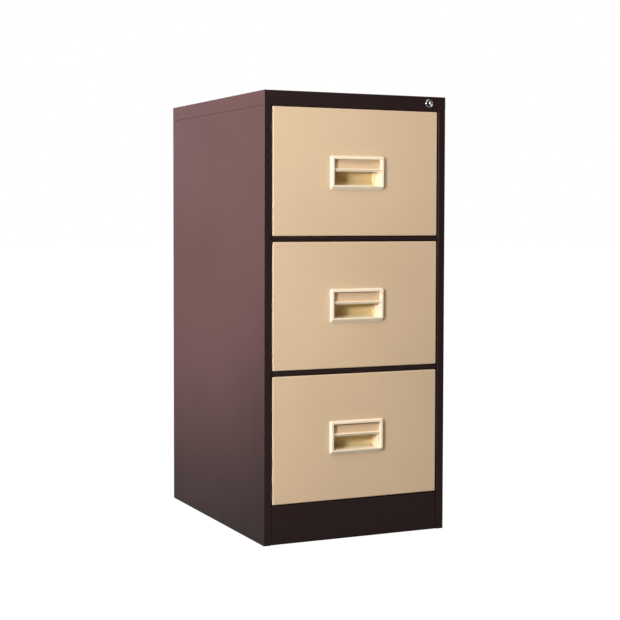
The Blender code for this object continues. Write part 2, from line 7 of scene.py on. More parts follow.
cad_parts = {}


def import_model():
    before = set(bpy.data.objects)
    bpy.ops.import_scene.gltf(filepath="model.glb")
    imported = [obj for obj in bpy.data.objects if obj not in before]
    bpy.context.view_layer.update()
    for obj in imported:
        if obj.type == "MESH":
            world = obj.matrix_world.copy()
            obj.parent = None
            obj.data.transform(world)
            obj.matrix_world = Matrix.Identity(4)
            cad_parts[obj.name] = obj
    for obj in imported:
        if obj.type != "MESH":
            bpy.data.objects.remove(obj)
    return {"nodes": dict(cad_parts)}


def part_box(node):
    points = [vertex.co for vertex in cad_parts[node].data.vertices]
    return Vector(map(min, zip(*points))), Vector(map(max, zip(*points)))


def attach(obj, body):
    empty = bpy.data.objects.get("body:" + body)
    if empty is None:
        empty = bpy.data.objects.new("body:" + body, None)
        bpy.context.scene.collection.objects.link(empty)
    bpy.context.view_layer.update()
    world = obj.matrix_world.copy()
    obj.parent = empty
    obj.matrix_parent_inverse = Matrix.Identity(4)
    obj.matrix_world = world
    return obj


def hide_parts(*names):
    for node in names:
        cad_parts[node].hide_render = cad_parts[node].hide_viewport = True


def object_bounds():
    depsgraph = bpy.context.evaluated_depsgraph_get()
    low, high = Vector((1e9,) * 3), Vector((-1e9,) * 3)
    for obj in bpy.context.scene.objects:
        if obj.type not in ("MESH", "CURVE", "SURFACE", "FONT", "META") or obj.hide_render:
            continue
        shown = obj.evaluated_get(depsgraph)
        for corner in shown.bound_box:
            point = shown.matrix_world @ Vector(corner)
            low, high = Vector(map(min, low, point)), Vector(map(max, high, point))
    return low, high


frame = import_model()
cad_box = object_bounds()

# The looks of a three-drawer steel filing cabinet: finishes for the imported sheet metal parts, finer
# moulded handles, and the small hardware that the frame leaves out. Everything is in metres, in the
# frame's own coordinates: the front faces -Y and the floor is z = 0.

# ---------------------------------------------------------------- places taken from the frame

DRAWERS = ("top", "middle", "bottom")
SIDES = (("left", -1), ("right", 1))
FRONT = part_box("top_drawer_front")[0].y          # the plane of the drawer fronts
CARCASS_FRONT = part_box("top_cover")[0].y         # the plane of the lid and the stiles
BACK = cad_box[1].y
HEIGHT = cad_box[1].z
HALF_WIDTH = cad_box[1].x

# Handle moulding: heights from the middle of its bezel, depths from the plane of the drawer fronts
LABEL_TOP, LABEL_FLOOR = 0.0312, 0.0020
OPENING_HALF_WIDTH, OPENING_BOTTOM = 0.0600, -0.0285
LEDGE_TOP, LEDGE_BOTTOM, LEDGE_SINK = 0.0093, 0.0028, 0.0015
LEDGE_RADIUS, LEDGE_SLOPE = 0.0016, 0.0028       # its nose, and how far its lower edge lies back
POCKET_BACK, POCKET_TAPER = 0.0290, 0.0060
SCOOP_RADIUS, GRIP_TOP, GRIP_RADIUS = 0.0140, 0.0143, 0.0050
MOULD_WALL = 0.0025
POCKET_STEP = 0.0002                             # the pocket's walls step in by this behind its mouth
SIDE_LEAN, BOTTOM_LEAN = 0.0020, 0.0065          # from the bezel's foot in to its face
FOOT_RADIUS, FACE_RADIUS = 0.0045, 0.0030
RIM_FILLET, MOUTH_FILLET = 0.0012, 0.0008
MOUTH_RADIUS, SHELL_RADIUS = 0.0014, 0.0030      # corners of the opening and of the shell behind it
CARD_MARGIN, CARD_THICKNESS, CARD_RADIUS, CARD_GAP = 0.0006, 0.0003, 0.0010, 0.0001
CORNER_STEPS, FILLET_STEPS, SCOOP_STEPS = 6, 6, 9
FIT_GAP = 0.0003                                 # between pieces that rest on each other

# Lock, from its centre line and from the carcass front
COLLAR_BORE, BARREL_RADIUS, BARREL_END = 0.0068, 0.0080, 0.0240
THREAD_TURNS, THREAD_PITCH, THREAD_DEPTH, THREAD_START = 14, 0.0011, 0.0003, 0.0080
PLUG_RADIUS, PLUG_CHAMFER, PLUG_PROUD, PLUG_END = 0.0065, 0.0005, 0.0020, 0.0273
KEYWAY_HALF_WIDTH, KEYWAY_HALF_HEIGHT, KEYWAY_DEPTH = 0.0010, 0.0042, 0.0080
LOCK_STEPS = 40

# Small hardware
RIVET_RADIUS = 0.0032
TRAY_RIVET_HEIGHT, REAR_RIVET_HEIGHT = 0.0012, 0.0011
TRAY_RIVET_PLACES = (0.045, 0.265, 0.485)        # along the tray, from its front end
REAR_RIVETS, REAR_RIVET_START, REAR_RIVET_PITCH, REAR_RIVET_INSET = 6, 0.060, 0.1725, 0.0100
LID_RIVET_DROP, LID_RIVET_PITCH = 0.016, 0.150
SCREW_RADIUS, SCREW_HEIGHT = 0.0036, 0.0014
HEAD_STEPS = 20
BALL_RADIUS, BALL_PITCH = 0.00175, 0.0222
CAGE_SHEET, CAGE_LENGTH, CAGE_END = 0.0005, 0.240, 0.012
# Each cage's name, how far its web and its lips lie inside the runner's outer face, half its height,
# and how far behind the drawer front it starts
CAGES = (("outer", 0.0022, 0.0088, 0.0190, 0.300), ("inner", 0.0054, 0.0098, 0.0140, 0.050))
TRAY_SHEET, BRACKET_SHEET, BRACKET_ARM, BRACKET_REACH = 0.001, 0.0010, 0.026, 0.020
BRACKET_FOOT, BRACKET_HEAD, BRACKET_INSET = 0.055, 0.045, 0.0007    # in from the tray's edges and side
SCREW_INSET, FRONT_SCREW_OUT, SIDE_SCREW_OUT = 0.020, 0.011, 0.014  # from the bracket's ends and fold
NUT_HEIGHT, NUT_BORE, NUT_CHAMFERED, NUT_ACROSS = 0.0152, 0.0044, 0.0068, 0.0075
NUT_BEVEL, NUT_THICKNESS = 0.0006, 0.0062

SMOOTH_ANGLE = math.radians(35)                  # sharper edges stay sharp
WELD_DISTANCE = 0.00001


# ---------------------------------------------------------------- material building blocks

class Graph:
    """A material's node tree, with short calls for the nodes used here. Patterns follow the piece."""

    def __init__(self, name):
        self.material = bpy.data.materials.new(name)
        self.material.use_nodes = True
        self.tree = self.material.node_tree
        self.shader = self.tree.nodes["Principled BSDF"]
        coordinates = self.tree.nodes.new("ShaderNodeTexCoord")
        self.place = coordinates.outputs["Object"]

    def add(self, kind, inputs=None, **settings):
        """A new node. Inputs take values or the sockets of other nodes."""
        node = self.tree.nodes.new(kind)
        for key, value in settings.items():
            setattr(node, key, value)
        for key, value in (inputs or {}).items():
            self.set(node.inputs[key], value)
        return node

    def set(self, socket, value):
        """Link a socket to another, or give it a constant."""
        if isinstance(value, bpy.types.NodeSocket):
            self.tree.links.new(value, socket)
        else:
            socket.default_value = value

    def stretched(self, scale):
        return self.add("ShaderNodeMapping", {"Vector": self.place, "Scale": scale}).outputs[0]

    def noise(self, scale, detail, roughness=0.5, stretch=None):
        place = self.stretched(stretch) if stretch else self.place
        node = self.add("ShaderNodeTexNoise", {
            "Vector": place, "Scale": scale, "Detail": detail, "Roughness": roughness,
        })
        return node.outputs[0]

    def remap(self, value, low, high, to_low, to_high):
        node = self.add("ShaderNodeMapRange", {
            "Value": value, "From Min": low, "From Max": high, "To Min": to_low, "To Max": to_high,
        })
        return node.outputs[0]

    def blend(self, factor, first, second):
        node = self.add("ShaderNodeMix", data_type="RGBA")
        self.set(node.inputs[0], factor)
        self.set(node.inputs[6], first)
        self.set(node.inputs[7], second)
        return node.outputs[2]

    def maths(self, operation, first, second):
        node = self.add("ShaderNodeMath", operation=operation)
        self.set(node.inputs[0], first)
        self.set(node.inputs[1], second)
        return node.outputs[0]

    def bump(self, height, depth, strength, under=None):
        """A normal from a height pattern, on top of the normal under it."""
        inputs = {"Height": height, "Distance": depth, "Strength": strength}
        if under:
            inputs["Normal"] = under
        return self.add("ShaderNodeBump", inputs).outputs[0]

    def finish(self, **sockets):
        """Fill in the shader's sockets, named with _ for each space, and give back the material."""
        for key, value in sockets.items():
            self.set(self.shader.inputs[key.replace("_", " ")], value)
        return self.material


def shade(colour, factor):
    """A colour made lighter or darker, as a socket value."""
    return (*(channel * factor for channel in colour), 1.0)


def powder_coat(name, colour, roughness, gloss):
    """Stoved paint on sheet steel: orange peel, slight clouding and handling marks."""
    peel = 0.00003
    g = Graph(name)
    clouds = g.noise(4.0, 3.0)
    tint = g.blend(g.remap(clouds, 0.3, 0.7, 0.0, 1.0), shade(colour, 0.965), shade(colour, 1.035))
    specks = g.remap(g.noise(900.0, 1.0), 0.68, 0.78, 0.0, 0.10)
    tint = g.blend(specks, tint, shade(colour, 1.35))
    wiped = g.noise(14.0, 4.0, 0.6, (1.0, 1.0, 0.22))
    rubbed = g.remap(wiped, 0.3, 0.7, roughness - 0.04, roughness + 0.05)
    peel_waves = g.noise(420.0, 1.5, 0.4)
    grit = g.noise(2400.0, 1.0)
    normal = g.bump(peel_waves, peel, 0.8)
    normal = g.bump(grit, peel / 6, 0.5, normal)
    return g.finish(
        Base_Color=tint, Roughness=rubbed, Normal=normal, Specular_IOR_Level=gloss,
    )


def moulded_plastic(name, colour, pocket_shade_colour, roughness, glow):
    """Moulded plastic: a spark-eroded skin, faint flow clouds, and painted shade that turns it darker and
    more golden deep in its pocket.
    """
    g = Graph(name)
    flow = g.noise(22.0, 3.0, 0.5, (0.35, 1.0, 1.0))
    tint = g.blend(g.remap(flow, 0.3, 0.7, 0.0, 1.0), shade(colour, 0.97), shade(colour, 1.02))
    # painted shade: towards the back of the pocket the colour blends into a darker, golden tone
    depth = g.add("ShaderNodeSeparateXYZ", {"Vector": g.place}).outputs["Y"]
    painted_pocket_shade = g.remap(depth, FRONT + POCKET_BACK * 0.5, FRONT + POCKET_BACK * 0.9, 0.0, 1.0)
    tint = g.blend(painted_pocket_shade, tint, shade(pocket_shade_colour, 1.0))
    polish = g.remap(g.noise(60.0, 3.0), 0.3, 0.7, roughness - 0.04, roughness + 0.06)
    skin = g.noise(3200.0, 2.0, 0.6)
    sink = g.noise(90.0, 1.0)
    normal = g.bump(sink, 0.00004, 0.6)
    normal = g.bump(skin, 0.000008, 0.6, normal)
    return g.finish(
        Base_Color=tint, Roughness=polish, Normal=normal, Specular_IOR_Level=0.5,
        Subsurface_Weight=glow, Subsurface_Radius=(0.004, 0.0025, 0.0012), Subsurface_Scale=0.6,
    )


def zinc_plate(name, colour, roughness):
    """Galvanised strip: faint spangle, rolling lines along the strip and dull patches."""
    g = Graph(name)
    crystals = g.add("ShaderNodeTexVoronoi", {"Vector": g.place, "Scale": 160.0, "Randomness": 1.0})
    grains = g.add("ShaderNodeSeparateColor", {"Color": crystals.outputs["Color"]}).outputs[0]
    tint = g.blend(grains, shade(colour, 0.90), shade(colour, 1.06))
    dull = g.noise(11.0, 4.0, 0.6)
    tint = g.blend(g.remap(dull, 0.45, 0.75, 0.0, 0.35), tint, (0.56, 0.57, 0.60, 1.0))
    rolled = g.noise(900.0, 2.0, 0.5, (1.0, 0.02, 1.0))
    polish = g.maths("ADD", g.remap(grains, 0.0, 1.0, roughness - 0.05, roughness + 0.05),
                     g.remap(dull, 0.3, 0.7, -0.03, 0.08))
    normal = g.bump(rolled, 0.000012, 0.6)
    return g.finish(Base_Color=tint, Metallic=1.0, Roughness=polish, Normal=normal)


def bright_metal(name, colour, roughness):
    """Chrome or bare polished steel with hairline scratches."""
    g = Graph(name)
    hairs = g.noise(1800.0, 2.0, 0.7, (0.08, 1.0, 1.0))
    smears = g.noise(160.0, 3.0)
    polish = g.maths("ADD", g.remap(hairs, 0.45, 0.75, roughness, roughness + 0.10),
                     g.remap(smears, 0.3, 0.7, 0.0, 0.05))
    tint = g.blend(smears, shade(colour, 0.96), shade(colour, 1.0))
    return g.finish(Base_Color=tint, Metallic=1.0, Roughness=polish,
                    Normal=g.bump(hairs, 0.000004, 0.4))


def paper_card(name, colour):
    """Uncoated card, with pressed fibres."""
    g = Graph(name)
    fibres = g.noise(700.0, 4.0, 0.65, (0.4, 1.0, 1.0))
    tint = g.blend(g.remap(fibres, 0.3, 0.7, 0.0, 1.0), shade(colour, 0.95), shade(colour, 1.03))
    return g.finish(Base_Color=tint, Roughness=g.remap(fibres, 0.2, 0.8, 0.75, 0.9),
                    Normal=g.bump(fibres, 0.00001, 0.5), Specular_IOR_Level=0.3)


def rubbery(name, colour):
    """Black moulded feet, matt, with dust in the grain."""
    g = Graph(name)
    grain = g.noise(1300.0, 3.0, 0.6)
    dust = g.remap(g.noise(70.0, 4.0, 0.65), 0.5, 0.8, 0.0, 0.25)
    tint = g.blend(dust, shade(colour, 1.0), (0.20, 0.19, 0.17, 1.0))
    return g.finish(Base_Color=tint, Roughness=g.remap(grain, 0.2, 0.8, 0.5, 0.7),
                    Normal=g.bump(grain, 0.00003, 0.5))


BROWN = powder_coat("brown_paint_finish", (0.0230, 0.0124, 0.0121), 0.34, 0.14)
BEIGE = powder_coat("beige_paint_finish", (0.645, 0.470, 0.300), 0.46, 0.40)
# the second colour is painted shade for the deep part of each finger pocket
CREAM = moulded_plastic("cream_plastic_finish", (0.90, 0.765, 0.575), (0.71, 0.545, 0.275), 0.34, 0.03)
CARD = paper_card("label_card_finish", (0.70, 0.50, 0.31))
ZINC = zinc_plate("zinc_finish", (0.62, 0.62, 0.60), 0.34)
CHROME = bright_metal("chrome_finish", (0.82, 0.82, 0.83), 0.09)
NICKEL = bright_metal("lock_plug_finish", (0.36, 0.36, 0.37), 0.16)
STEEL = bright_metal("ball_steel_finish", (0.55, 0.55, 0.56), 0.16)
BLACK = rubbery("black_plastic_finish", (0.022, 0.022, 0.023))

FINISHES = {
    "brown_paint": BROWN, "beige_paint": BEIGE, "cream_plastic": CREAM,
    "zinc_steel": ZINC, "chrome": CHROME, "black_plastic": BLACK,
}


# ---------------------------------------------------------------- mesh building blocks

def angle_smoother(limit):
    """A modifier group that shades smooth, except across edges sharper than the limit."""
    group = bpy.data.node_groups.new("smooth_by_angle", "GeometryNodeTree")
    group.interface.new_socket("Geometry", in_out="INPUT", socket_type="NodeSocketGeometry")
    group.interface.new_socket("Geometry", in_out="OUTPUT", socket_type="NodeSocketGeometry")
    entry = group.nodes.new("NodeGroupInput")
    leave = group.nodes.new("NodeGroupOutput")
    angle = group.nodes.new("GeometryNodeInputMeshEdgeAngle")
    gentle = group.nodes.new("FunctionNodeCompare")
    gentle.data_type = "FLOAT"
    gentle.operation = "LESS_EQUAL"
    gentle.inputs[1].default_value = limit
    faces = group.nodes.new("GeometryNodeSetShadeSmooth")
    faces.domain = "FACE"
    edges = group.nodes.new("GeometryNodeSetShadeSmooth")
    edges.domain = "EDGE"
    link = group.links.new
    link(entry.outputs[0], faces.inputs["Geometry"])
    link(faces.outputs[0], edges.inputs["Geometry"])
    link(angle.outputs[0], gentle.inputs[0])
    link(gentle.outputs[0], edges.inputs["Shade Smooth"])
    link(edges.outputs[0], leave.inputs[0])
    return group


SMOOTHER = angle_smoother(SMOOTH_ANGLE)


def smooth_by_angle(piece):
    """Round off the shading of gentle bends, and leave sharp folds sharp."""
    piece.modifiers.new("smooth_by_angle", "NODES").node_group = SMOOTHER


def even_shading(piece):
    """Keep flat faces evenly shaded right up to their rounded edges."""
    even = piece.modifiers.new("even_shading", "WEIGHTED_NORMAL")
    even.keep_sharp = True


def dress_frame():
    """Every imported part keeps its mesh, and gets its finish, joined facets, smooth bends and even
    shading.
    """
    for node in frame["nodes"].values():
        finish = FINISHES[node.data.materials[0].name]
        node.data.materials[0] = finish
        weld = node.modifiers.new("joined_facets", "WELD")
        weld.merge_threshold = WELD_DISTANCE
        smooth_by_angle(node)
        even_shading(node)


def add_piece(name, bm, material, body):
    """Turn a bmesh into a piece that rides on a body."""
    bmesh.ops.recalc_face_normals(bm, faces=bm.faces)
    mesh = bpy.data.meshes.new(name)
    bm.to_mesh(mesh)
    bm.free()
    mesh.materials.append(material)
    mesh.shade_smooth()
    mesh.set_sharp_from_angle(angle=SMOOTH_ANGLE)
    piece = bpy.data.objects.new(name, mesh)
    bpy.context.scene.collection.objects.link(piece)
    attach(piece, body)
    return piece


def rounded_ring(half_width, low, high, radius, y):
    """The points of a rounded rectangle that faces -Y, counted round from its lower right corner."""
    points = []
    corners = (
        (half_width - radius, low + radius, -90), (half_width - radius, high - radius, 0),
        (radius - half_width, high - radius, 90), (radius - half_width, low + radius, 180),
    )
    for x, z, start in corners:
        for step in range(CORNER_STEPS + 1):
            angle = math.radians(start + 90 * step / CORNER_STEPS)
            points.append(Vector((x + radius * math.cos(angle), y, z + radius * math.sin(angle))))
    return points


def loft(bm, rings, hollow=False):
    """Join rings of points into a skin. It ends in caps, or if hollow it closes on its first ring."""
    levels = [[bm.verts.new(point) for point in ring] for ring in rings]
    following = levels[1:] + levels[:1] if hollow else levels[1:]
    for near, far in zip(levels, following):
        for index, corner in enumerate(near):
            bm.faces.new((near[index - 1], corner, far[index], far[index - 1]))
    if not hollow:
        bm.faces.new(levels[0])
        bm.faces.new(levels[-1])


def turned_rings(profile, centre, along, steps):
    """Circles about a centre line. The profile lists (radius, distance along the line)."""
    along = Vector(along)
    across = Vector((0, 0, 1)) if abs(along.z) < 0.5 else Vector((1, 0, 0))
    rings = []
    for radius, distance in profile:
        middle = Vector(centre) + along * distance
        rings.append([middle + Matrix.Rotation(math.tau * step / steps, 3, along) @ across * radius
                      for step in range(steps)])
    return rings


def strip_outline(points, thickness):
    """The outline of a thin sheet whose middle runs through the given flat points, with mitred folds."""
    points = [Vector(point) for point in points]
    sides = ([], [])
    for index, point in enumerate(points):
        into = (point - points[index - 1]).normalized() if index else None
        out = (points[index + 1] - point).normalized() if index + 1 < len(points) else into
        into = into or out
        along = (into + out).normalized()
        normal = Vector((-along.y, along.x)) * (thickness / 2 / along.dot(into))
        sides[0].append(point + normal)
        sides[1].append(point - normal)
    return sides[0] + sides[1][::-1]


# ---------------------------------------------------------------- handles

def handle_rings(half_width, half_height, face):
    """The rings of the moulding, from the back of its shell round the bezel and down into the pocket.

    The shell narrows in steps towards its back, to follow the pocket inside it.
    """
    flange = FRONT - FIT_GAP
    shell_half = OPENING_HALF_WIDTH + MOULD_WALL
    shell_low, shell_high = OPENING_BOTTOM - MOULD_WALL, LABEL_TOP + MOULD_WALL
    shell_end = FRONT + POCKET_BACK + MOULD_WALL
    label_back = FRONT + LABEL_FLOOR + MOULD_WALL
    grip_shell = GRIP_TOP + MOULD_WALL
    rings = [
        rounded_ring(*sides, SHELL_RADIUS, y) for sides, y in (
            ((shell_half - POCKET_TAPER - 0.004, shell_low + 0.012, grip_shell - 0.004), shell_end),
            ((shell_half - POCKET_TAPER, shell_low + 0.004, grip_shell), shell_end - 0.005),
            ((shell_half - 0.003, shell_low, grip_shell), shell_end - 0.015),
            ((shell_half, shell_low, grip_shell), label_back),
            ((shell_half, shell_low, shell_high), label_back),
            ((shell_half, shell_low, shell_high), flange),
        )
    ]
    rings.append(rounded_ring(half_width, -half_height, half_height, FOOT_RADIUS, flange))
    for step in range(FILLET_STEPS + 1):
        turn = math.radians(90) * step / FILLET_STEPS
        inset = RIM_FILLET * (1 - math.cos(turn))
        y = face + RIM_FILLET * (1 - math.sin(turn))
        side = SIDE_LEAN + inset
        rings.append(rounded_ring(half_width - side, BOTTOM_LEAN + inset - half_height, half_height - side,
                                  FACE_RADIUS - inset, y))
    for step in range(FILLET_STEPS + 1):
        turn = math.radians(90) * step / FILLET_STEPS
        outset = MOUTH_FILLET * (1 - math.sin(turn))
        y = face + MOUTH_FILLET * (1 - math.cos(turn))
        rings.append(rounded_ring(OPENING_HALF_WIDTH + outset, OPENING_BOTTOM - outset,
                                  LABEL_TOP + outset, MOUTH_RADIUS + outset, y))
    floor = FRONT + LABEL_FLOOR
    hidden_top = (LEDGE_TOP + LEDGE_BOTTOM) / 2
    half, low = OPENING_HALF_WIDTH - POCKET_STEP, OPENING_BOTTOM + POCKET_STEP
    rings.append(rounded_ring(OPENING_HALF_WIDTH, OPENING_BOTTOM, LABEL_TOP, MOUTH_RADIUS, floor))
    rings.append(rounded_ring(half, low, hidden_top, MOUTH_RADIUS, floor))
    rings.append(rounded_ring(half, low, hidden_top, MOUTH_RADIUS, label_back))
    rings.append(rounded_ring(pocket_half(label_back, face), low, GRIP_TOP, MOUTH_RADIUS, label_back))
    back = FRONT + POCKET_BACK
    for step in range(SCOOP_STEPS + 1):
        turn = math.radians(90) * step / SCOOP_STEPS
        y = back - SCOOP_RADIUS * (1 - math.sin(turn))
        rise = SCOOP_RADIUS * (1 - math.cos(turn))
        past = max(0.0, y - (back - GRIP_RADIUS))
        rounding = GRIP_RADIUS - math.sqrt(max(0.0, GRIP_RADIUS ** 2 - past ** 2))
        half = pocket_half(y, face) - rounding * 0.8
        rings.append(rounded_ring(half, low + rise, GRIP_TOP - rounding, 0.0020, y))
    return rings


def pocket_half(y, face):
    """Half the pocket's width at a depth: its ends lean in towards the back."""
    return OPENING_HALF_WIDTH - POCKET_TAPER * (y - face) / (FRONT + POCKET_BACK - face)


def ledge_rings(face):
    """The bar between label recess and pocket; its front slopes back towards its lower edge."""
    front = face + LEDGE_SINK
    back = FRONT + LABEL_FLOOR + MOULD_WALL + 0.0005
    outline = [(back, LEDGE_TOP), (back, LEDGE_BOTTOM)]
    noses = (
        (front + LEDGE_SLOPE + LEDGE_RADIUS, LEDGE_BOTTOM + LEDGE_RADIUS, -90),
        (front + LEDGE_RADIUS, LEDGE_TOP - LEDGE_RADIUS, -180),
    )
    for y, z, start in noses:
        for step in range(FILLET_STEPS + 1):
            angle = math.radians(start - 90 * step / FILLET_STEPS)
            outline.append((y + LEDGE_RADIUS * math.cos(angle), z + LEDGE_RADIUS * math.sin(angle)))
    reach = OPENING_HALF_WIDTH + 0.0004              # its ends go a little way into the walls
    return [[Vector((x, y, z)) for y, z in outline] for x in (-reach, reach)]


def card_rings():
    """The blank card that lies on the floor of the label recess."""
    half_width = OPENING_HALF_WIDTH - CARD_MARGIN
    low, high = LEDGE_TOP + CARD_MARGIN, LABEL_TOP - CARD_MARGIN
    back = FRONT + LABEL_FLOOR - CARD_GAP
    front = back - CARD_THICKNESS
    soft = CARD_THICKNESS / 3
    return [
        rounded_ring(half_width, low, high, CARD_RADIUS, back),
        rounded_ring(half_width, low, high, CARD_RADIUS, front + soft),
        rounded_ring(half_width - soft, low + soft, high - soft, CARD_RADIUS, front),
    ]


def handles():
    """One moulding for each drawer, in place of the plain one in the frame."""
    for drawer in DRAWERS:
        node = f"{drawer}_drawer_handle"
        low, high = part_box(node)
        middle = (low.z + high.z) / 2
        bm = bmesh.new()
        loft(bm, handle_rings(high.x, (high.z - low.z) / 2, low.y))
        loft(bm, ledge_rings(low.y))
        bmesh.ops.translate(bm, verts=bm.verts, vec=(0, 0, middle))
        piece = add_piece(f"{drawer}_handle_moulding", bm, CREAM, f"{drawer}_drawer")
        even_shading(piece)
        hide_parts(node)
        bm = bmesh.new()
        loft(bm, card_rings())
        bmesh.ops.translate(bm, verts=bm.verts, vec=(0, 0, middle))
        add_piece(f"{drawer}_label_card", bm, CARD, f"{drawer}_drawer")


# ---------------------------------------------------------------- lock

def keyway_ring(half_width, half_height, centre, y):
    """A slot's outline, with as many points as a turned ring and at the same angles."""
    ring = []
    for step in range(LOCK_STEPS):
        angle = math.tau * step / LOCK_STEPS
        across, up = math.sin(angle), math.cos(angle)
        reach = min(half_width / max(abs(across), 1e-6), half_height / max(abs(up), 1e-6))
        ring.append(Vector((centre.x + across * reach, y, centre.z + up * reach)))
    return ring


def lock_collar(centre, backward):
    """A chromed collar with a rounded lip and a threaded barrel."""
    lip = [
        (COLLAR_BORE, -0.0008), (0.0070, -0.0018), (0.0075, -0.0025), (0.0082, -0.0029), (0.0088, -0.0029),
        (0.0094, -0.0025), (0.0098, -0.0018), (0.0100, -0.0009), (0.0100, -FIT_GAP),
    ]
    thread = []
    for turn in range(THREAD_TURNS):
        start = THREAD_START + turn * THREAD_PITCH
        thread += [(BARREL_RADIUS, start), (BARREL_RADIUS - THREAD_DEPTH, start + 0.0004)]
    end = [(BARREL_RADIUS - 0.0001, BARREL_END), (COLLAR_BORE, BARREL_END)]
    profile = lip + [(BARREL_RADIUS, -FIT_GAP)] + thread + end
    bm = bmesh.new()
    loft(bm, turned_rings(profile, centre, backward, LOCK_STEPS), hollow=True)
    collar = add_piece("lock_collar", bm, CHROME, "cabinet")
    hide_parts("lock_housing")


def lock_barrel_plug(centre, backward):
    """The plug that the key turns, with a chamfered face and a keyway."""
    chamfer_start = PLUG_CHAMFER + 0.0001 - PLUG_PROUD
    profile = [
        (PLUG_RADIUS, PLUG_END), (PLUG_RADIUS, chamfer_start), (PLUG_RADIUS - PLUG_CHAMFER, -PLUG_PROUD),
    ]
    face = CARCASS_FRONT - PLUG_PROUD
    soft = 0.0002
    inner_width, inner_height = KEYWAY_HALF_WIDTH - soft, KEYWAY_HALF_HEIGHT - soft
    rings = turned_rings(profile, centre, backward, LOCK_STEPS)
    rings.append(keyway_ring(KEYWAY_HALF_WIDTH, KEYWAY_HALF_HEIGHT, centre, face))
    rings.append(keyway_ring(inner_width, inner_height, centre, face + soft))
    rings.append(keyway_ring(inner_width, inner_height, centre, face + KEYWAY_DEPTH))
    bm = bmesh.new()
    loft(bm, rings)
    plug = add_piece("lock_barrel_plug", bm, NICKEL, "lock_plug")
    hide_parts("lock_plug")


def lock():
    """The collar and the plug, in place of the plain ones in the frame."""
    low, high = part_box("lock_housing")
    centre = Vector(((low.x + high.x) / 2, CARCASS_FRONT, (low.z + high.z) / 2))
    backward = (0, 1, 0)
    lock_collar(centre, backward)
    lock_barrel_plug(centre, backward)


# ---------------------------------------------------------------- small hardware

def head_profile(radius, height):
    """A domed rivet or screw head that rises along its axis, let into the sheet a little."""
    sink = 0.0003
    return [
        (radius * 0.5, -sink), (radius, -sink), (radius, height * 0.25), (radius * 0.88, height * 0.62),
        (radius * 0.62, height * 0.90), (radius * 0.25, height),
    ]


def rivet_row(name, places, along, height, body):
    """One piece for a row of equal rivet heads."""
    bm = bmesh.new()
    for place in places:
        loft(bm, turned_rings(head_profile(RIVET_RADIUS, height), place, along, HEAD_STEPS))
    add_piece(name, bm, ZINC, body)


def ball_cage(name, body, outline, balls, start):
    """A slide's ball cage: a thin channel along Y and two rows of steel balls, joined as one piece."""
    bm = bmesh.new()
    loft(bm, [[Vector((x, y, z)) for x, z in outline] for y in (start, start + CAGE_LENGTH)])
    count = int((CAGE_LENGTH - CAGE_END) / BALL_PITCH) + 1
    first = start + (CAGE_LENGTH - (count - 1) * BALL_PITCH) / 2
    for x, z in balls:
        for index in range(count):
            place = Matrix.Translation((x, first + index * BALL_PITCH, z))
            bmesh.ops.create_icosphere(bm, subdivisions=2, radius=BALL_RADIUS, matrix=place)
    add_piece(name, bm, STEEL, body)


def slide_hardware(drawer):
    """Two ball cages in each slide, which travel with the middle member."""
    for column, side in SIDES:
        low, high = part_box(f"{drawer}_{column}_runner")
        middle = (low.z + high.z) / 2
        outer = max(abs(low.x), abs(high.x))

        def across(distance):
            return side * (outer - distance)

        for name, web, lip, row, start in CAGES:
            line = [(across(lip), middle + row), (across(web), middle + row),
                    (across(web), middle - row), (across(lip), middle - row)]
            ball_line = across((web + lip) / 2 + 0.0010)
            ball_cage(
                f"{drawer}_{column}_{name}_ball_cage", f"{drawer}_slides", strip_outline(line, CAGE_SHEET),
                [(ball_line, middle + row), (ball_line, middle - row)], FRONT + start,
            )


def drawer_hardware(drawer):
    """Rivets that hold the slide members to the tray, and brackets that hold the front to it."""
    body = f"{drawer}_drawer"
    low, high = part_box(f"{drawer}_drawer_tray")
    slide_low, slide_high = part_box(f"{drawer}_left_drawer_slide")
    slide_middle = (slide_low.z + slide_high.z) / 2
    inner = high.x - TRAY_SHEET
    start = low.y - FIT_GAP
    bottom, top = low.z + BRACKET_FOOT, high.z - BRACKET_HEAD
    head = head_profile(SCREW_RADIUS, SCREW_HEIGHT)
    for column, side in SIDES:
        rivets = [(side * inner, low.y + distance, slide_middle) for distance in TRAY_RIVET_PLACES]
        rivet_row(f"{drawer}_{column}_tray_rivets", rivets, (-side, 0, 0), TRAY_RIVET_HEIGHT, body)
        face = side * (inner - BRACKET_INSET)
        line = [(face, start + BRACKET_ARM), (face, start), (face - side * BRACKET_REACH, start)]
        outline = strip_outline(line, BRACKET_SHEET)
        bm = bmesh.new()
        loft(bm, [[Vector((x, y, z)) for x, y in outline] for z in (bottom, top)])
        for height in (bottom + SCREW_INSET, top - SCREW_INSET):
            front_place = (face - side * FRONT_SCREW_OUT, start + BRACKET_SHEET / 2, height)
            side_place = (face - side * BRACKET_SHEET / 2, start + SIDE_SCREW_OUT, height)
            loft(bm, turned_rings(head, front_place, (0, 1, 0), HEAD_STEPS))
            loft(bm, turned_rings(head, side_place, (-side, 0, 0), HEAD_STEPS))
        add_piece(f"{drawer}_{column}_front_bracket", bm, ZINC, body)


